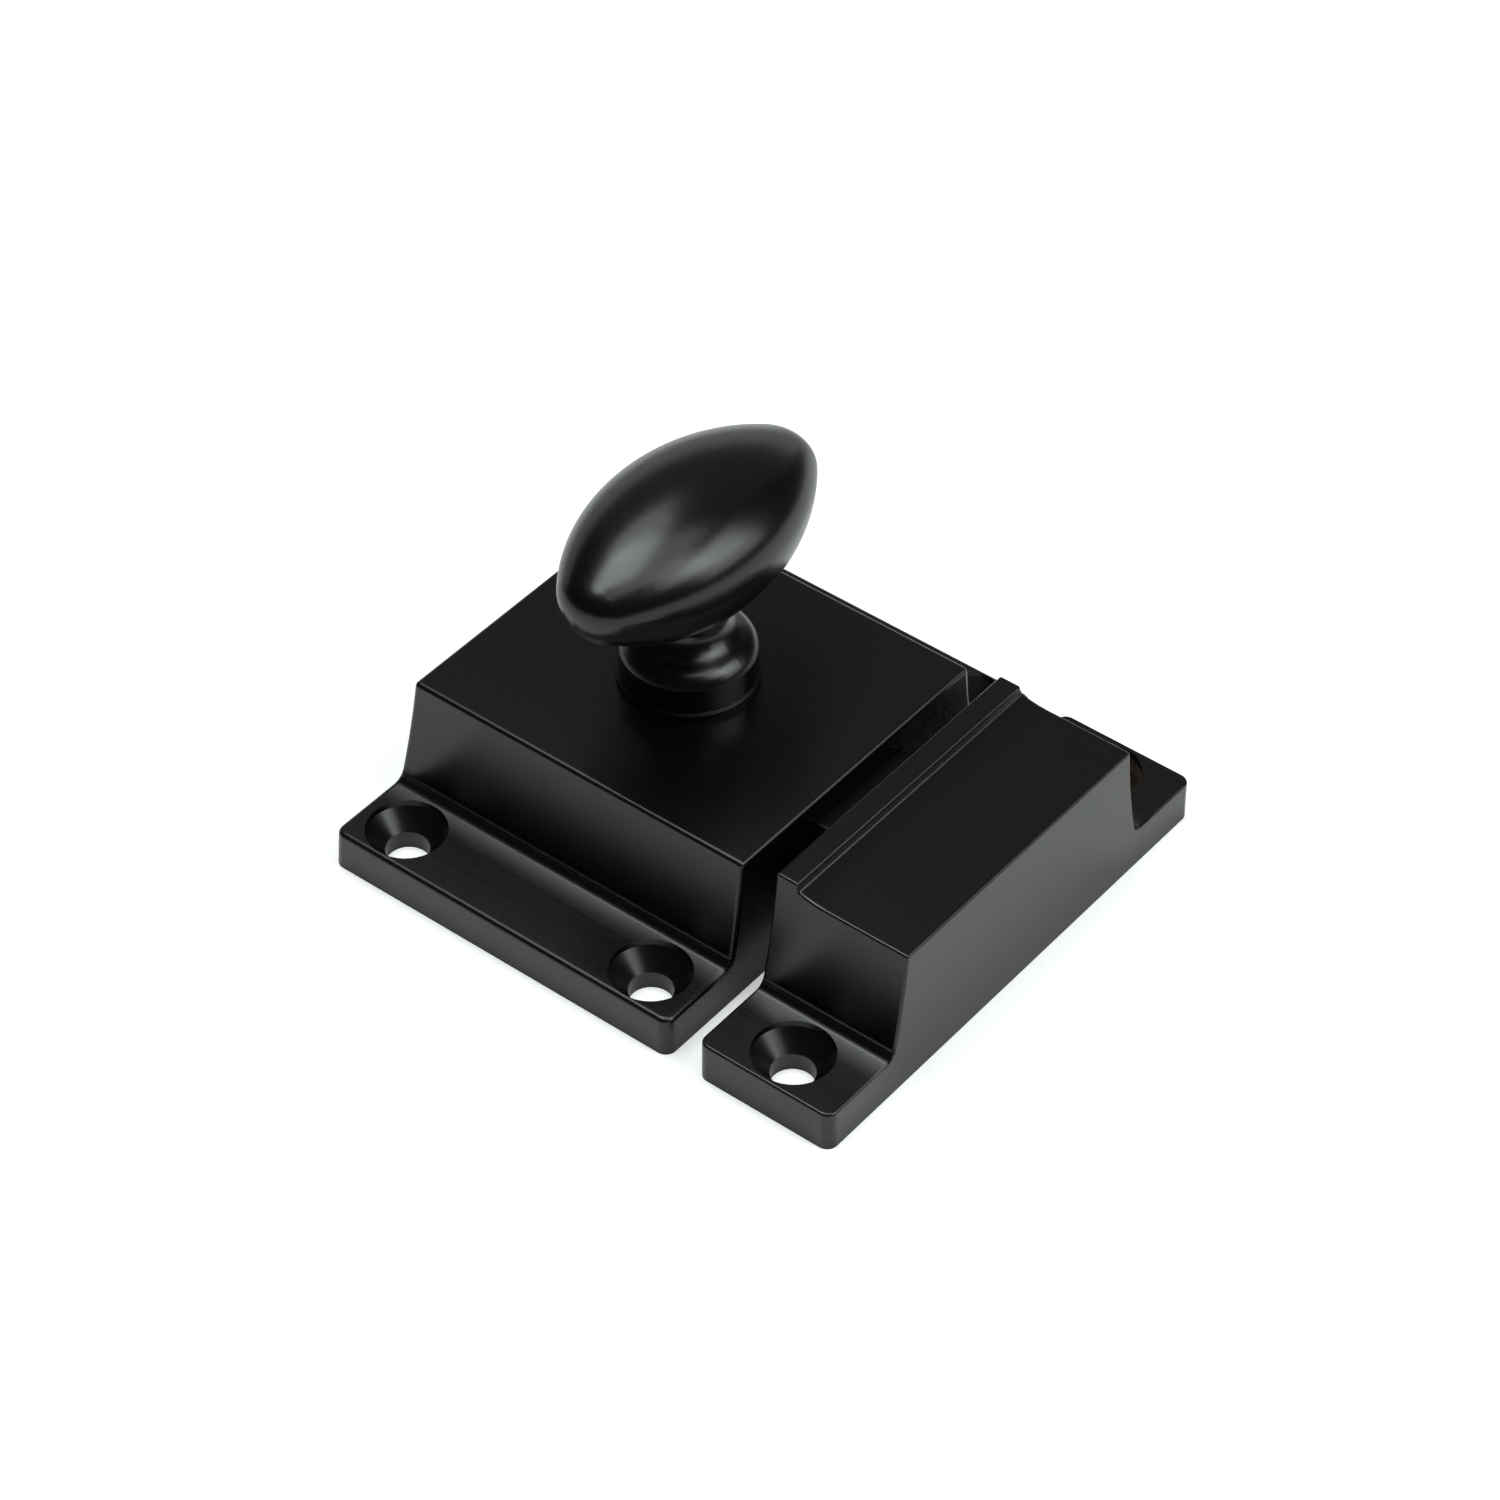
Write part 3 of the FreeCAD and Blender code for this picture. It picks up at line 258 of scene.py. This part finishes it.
# %% Bare metals
def bare_metal(name, colour, roughness, line_gap, stretch):
    material = new_material(name)
    place = add_node(material, "ShaderNodeTexCoord")
    stretched = add_node(material, "ShaderNodeMapping", inputs={
        "Vector": place.outputs["Object"],
        "Scale": [part * per_metre(line_gap) for part in stretch],
    })
    lines = add_node(material, "ShaderNodeTexNoise", inputs={
        "Vector": stretched.outputs["Vector"],
        "Scale": 1.0,
        "Detail": 3.0,
    })
    bump = add_node(material, "ShaderNodeBump", inputs={
        "Height": lines.outputs["Fac"],
        "Strength": 1.0,
        "Distance": 0.003 * MM,
    })
    gloss = add_node(material, "ShaderNodeMapRange", inputs={
        "Value": lines.outputs["Fac"],
        "From Min": 0.3,
        "From Max": 0.7,
        "To Min": roughness - 0.06,
        "To Max": roughness + 0.08,
    })
    stain = add_node(material, "ShaderNodeTexNoise", inputs={
        "Vector": place.outputs["Object"],
        "Scale": per_metre(4),
        "Detail": 3.0,
    })
    patches = add_node(material, "ShaderNodeMapRange", inputs={
        "Value": stain.outputs["Fac"],
        "From Min": 0.35,
        "From Max": 0.7,
    })
    bright = linear(colour)
    tint = add_node(material, "ShaderNodeMix", {"data_type": "RGBA"}, {
        0: patches.outputs["Result"],
        6: bright,
        7: [part * 0.8 for part in bright[:3]] + [1],
    })
    metal = add_node(material, "ShaderNodeBsdfPrincipled", inputs={
        "Base Color": tint.outputs[2],
        "Metallic": 1.0,
        "Roughness": gloss.outputs["Result"],
        "Normal": bump.outputs["Normal"],
    })
    add_node(material, "ShaderNodeOutputMaterial", inputs={"Surface": metal.outputs[0]})
    return material


rolled_brass = bare_metal("rolled_sheet_brass", "#d8b56a", 0.32, 0.15, (1, 0.03, 1))
milled_brass = bare_metal("milled_brass", "#d9b468", 0.30, 0.2, (0.05, 1, 1))
turned_steel = bare_metal("turned_steel", "#c3c4c6", 0.28, 0.12, (0.05, 0.05, 1))
plated_steel = bare_metal("zinc_plated_steel", "#c9cdd0", 0.30, 0.5, (1, 1, 1))
spring_wire = bare_metal("drawn_spring_wire", "#a4a6a8", 0.30, 0.2, (1, 1, 1))
black_steel = bare_metal("phosphated_spring_steel", "#3a3a3c", 0.45, 0.2, (1, 1, 1))

finishes = {
    "case_body": case_lacquer,
    "keeper": keeper_lacquer,
    "knob": knob_lacquer,
    "spindle_bush": bush_lacquer,
    "latch_bolt": bolt_lacquer,
    "back_plate": rolled_brass,
    "drive_cam": milled_brass,
    "knob_spindle": turned_steel,
    "bolt_guide_pins": turned_steel,
    "thrust_washer": plated_steel,
    "cam_washer": plated_steel,
    "cam_screw": plated_steel,
    "back_plate_screws": plated_steel,
    "retaining_clip": black_steel,
    "bolt_spring_left": spring_wire,
    "bolt_spring_right": spring_wire,
}
for name, finish in finishes.items():
    for slot in nodes[name].material_slots:
        slot.material = finish
print("finished", len(finishes), "of", len(nodes), "solids")

# %% [markdown]
# ## Springs that give way
# Each spring stands still at one end, against the case, while the bolt presses on the other. A rigid
# solid can't do that. Each spring is swapped for a copy with its own mesh, which hangs on the case's body.

# %% Springs
for name in ("bolt_spring_left", "bolt_spring_right"):
    coil = bpy.data.objects.new(name + "_coil", nodes[name].data)
    bpy.context.scene.collection.objects.link(coil)
    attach(coil, "case")
    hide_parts(name)
    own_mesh(coil)

# %% [markdown]
# ## The table and the light
# The catch lies on a white table. The table's own white is a plain colour that takes the object's
# shadow. What the camera and the reflections see of it is lifted to full white with the Light Path
# node, so that no lamp has to be turned up for it.

# %% Table
POCKET_SIDE_MM = 10
MIRRORED_SHARE = 0.2
bpy.ops.object.select_all(action="DESELECT")
bpy.ops.mesh.primitive_plane_add(size=3.0, location=(0, 0, cad_box[0][2]))
table = bpy.context.object
table.name = "table"

white = new_material("white_table")
spot = add_node(white, "ShaderNodeTexCoord").outputs["Object"]
spot_parts = add_node(white, "ShaderNodeSeparateXYZ", inputs={"Vector": spot})
keeper_low, keeper_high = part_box("keeper")
right_of = value_of(white, "GREATER_THAN", spot_parts.outputs["X"], keeper_low.x)
left_of = value_of(white, "LESS_THAN", spot_parts.outputs["X"], keeper_high.x)
sideways = value_of(white, "ABSOLUTE", spot_parts.outputs["Y"])
in_middle = value_of(white, "LESS_THAN", sideways, POCKET_SIDE_MM * MM)
in_pocket = value_of(white, "MULTIPLY", value_of(white, "MULTIPLY", right_of, left_of), in_middle)
away = add_node(white, "ShaderNodeVectorMath", {"operation": "LENGTH"}, {0: spot}).outputs["Value"]
missing = ramp(white, away, 200 * MM, 450 * MM, 0.36, 1.0)
path = add_node(white, "ShaderNodeLightPath")
mirrored = value_of(white, "ADD", path.outputs["Is Glossy Ray"], path.outputs["Is Transmission Ray"])
some_mirrored = value_of(white, "MULTIPLY", mirrored, MIRRORED_SHARE)
seen = value_of(white, "ADD", path.outputs["Is Camera Ray"], some_mirrored)
open_table = value_of(white, "SUBTRACT", 1.0, in_pocket)
lift = value_of(white, "MULTIPLY", value_of(white, "MULTIPLY", seen, missing), open_table)
matt = add_node(white, "ShaderNodeBsdfDiffuse", inputs={"Color": linear("#f4f4f4")})
glow = add_node(white, "ShaderNodeEmission", inputs={"Color": (1, 1, 1, 1), "Strength": lift})
both = add_node(white, "ShaderNodeAddShader", inputs={0: matt.outputs[0], 1: glow.outputs[0]})
add_node(white, "ShaderNodeOutputMaterial", inputs={"Surface": both.outputs[0]})
table.data.materials.append(white)

# %% Lamps and surroundings
def soft_lamp(name, place_mm, aim_mm, size_mm, watts, colour):
    lamp = bpy.data.lights.new(name, "AREA")
    lamp.shape = "RECTANGLE"
    lamp.size = size_mm[0] * MM
    lamp.size_y = size_mm[1] * MM
    lamp.energy = watts
    lamp.color = colour
    holder = bpy.data.objects.new(name, lamp)
    bpy.context.scene.collection.objects.link(holder)
    place = Vector(place_mm) * MM
    aim = Vector(aim_mm) * MM
    holder.matrix_world = Matrix.Translation(place) @ (aim - place).to_track_quat("-Z", "Y").to_matrix().to_4x4()
    return holder


def lamp_place(azimuth, elevation, distance_mm):
    """A place on a sphere around the catch, from its compass angle and its height as an angle."""
    turn, rise = math.radians(azimuth), math.radians(elevation)
    level = distance_mm * math.cos(rise)
    return (level * math.cos(turn), level * math.sin(turn), distance_mm * math.sin(rise))


softboxes = {
    "overhead_softbox": ((215, 78, 640), (330, 330), 1.87),
    "rear_softbox": ((155, 66, 650), (280, 230), 0.52),
    "right_softbox": ((24, 36, 660), (420, 480), 1.40),
    "right_softbox_middle": ((24, 42, 640), (240, 280), 0.48),
    "bridging_softbox": ((0, 52, 655), (260, 360), 0.80),
    "high_softbox": ((30, 76, 660), (300, 240), 0.40),
    "front_softbox": ((315, 68, 660), (240, 180), 0.27),
}
cards = {
    "back_card": ((125, 34, 700), (1000, 720), 0.23),
    "white_sweep": ((145, 12, 720), (1600, 240), 0.60),
}
for name, (direction, size_mm, watts) in softboxes.items():
    soft_lamp(name, lamp_place(*direction), (0, 0, 20), size_mm, watts, (0.93, 1.0, 0.96))
for name, (direction, size_mm, watts) in cards.items():
    soft_lamp(name, lamp_place(*direction), (0, 0, 20), size_mm, watts, (1.0, 0.99, 1.0))

room = bpy.data.worlds.new("studio")
bpy.context.scene.world = room
room.use_nodes = True
room.node_tree.nodes["Background"].inputs["Color"].default_value = (1, 1, 1, 1)
seen = room.node_tree.nodes.new("ShaderNodeLightPath")
strength = room.node_tree.nodes.new("ShaderNodeMapRange")
strength.inputs["To Min"].default_value = 0.03
strength.inputs["To Max"].default_value = 1.0
room.node_tree.links.new(seen.outputs["Is Camera Ray"], strength.inputs["Value"])
room.node_tree.links.new(strength.outputs["Result"], room.node_tree.nodes["Background"].inputs["Strength"])

# %% [markdown]
# ## The camera
# The portrait was taken with a long lens from the front left, about 43 degrees above the table. The
# camera is placed by its direction and distance from a point on the catch, with a slight tilt.

# %% Camera
AZIMUTH, ELEVATION, ROLL = 37.81, 42.90, 0.75
DISTANCE_MM = 419.1
AIM = Vector((0.56, 7.73, 0.0)) * MM
turn, rise, tilt = [math.radians(angle) for angle in (AZIMUTH, ELEVATION, ROLL)]
back = Vector((math.sin(turn) * math.cos(rise), -math.cos(turn) * math.cos(rise), math.sin(rise)))
level = Vector((math.cos(turn), math.sin(turn), 0))
upright = back.cross(level)
right = level * math.cos(tilt) + upright * math.sin(tilt)
up = upright * math.cos(tilt) - level * math.sin(tilt)

lens = bpy.data.cameras.new("portrait")
lens.sensor_width = 36
lens.lens = 4880.7 / 1500 * 36
lens.clip_start = 0.01
camera = bpy.data.objects.new("portrait", lens)
bpy.context.scene.collection.objects.link(camera)
axes = Matrix((right, up, back)).transposed().to_4x4()
camera.matrix_world = Matrix.Translation(AIM + back * DISTANCE_MM * MM) @ axes
bpy.context.scene.camera = camera
bpy.context.scene.view_settings.view_transform = "Standard"
print("camera at", [round(part / MM, 1) for part in camera.matrix_world.translation], "mm, lens", round(lens.lens, 1))
